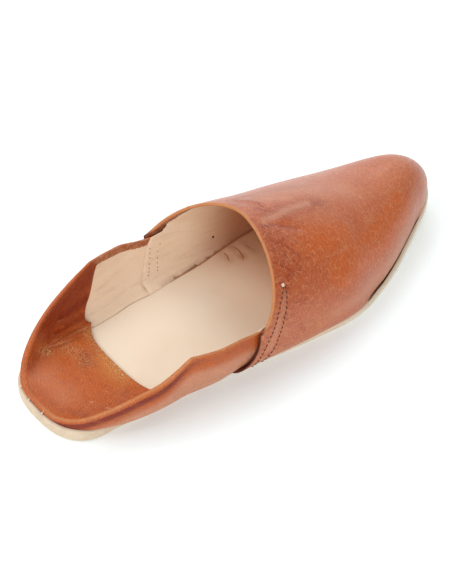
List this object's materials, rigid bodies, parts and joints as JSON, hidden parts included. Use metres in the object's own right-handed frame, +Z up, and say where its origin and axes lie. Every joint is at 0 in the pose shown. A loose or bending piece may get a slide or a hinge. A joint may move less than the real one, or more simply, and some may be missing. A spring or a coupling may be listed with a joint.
{
  "type": "babouche slipper",
  "caption": "Open-heel leather slipper with a long rounded vamp, a low heel band folded down inside, a thin flat sole and a pale insole.",
  "frame": {"origin": "centre of the shoe's bounding box at floor level", "axes": "+Y runs from the heel to the toe, +X to the wearer's right, +Z up"},
  "size_m": [0.0952, 0.265, 0.0637],
  "materials": {
    "sole_leather": "natural vegetable-tanned leather, pale and matte, with a fibrous cut edge",
    "insole_leather": "pale undyed leather, matte, slightly wrinkled",
    "upper_leather": "cognac full-grain leather, polished, with fine grain, wrinkles and burnished shading"
  },
  "bodies": {
    "root": {"outsole": "sole_leather", "insole": "insole_leather", "upper_heel_band": "upper_leather", "upper_vamp": "upper_leather"}
  },
  "joints": []
}
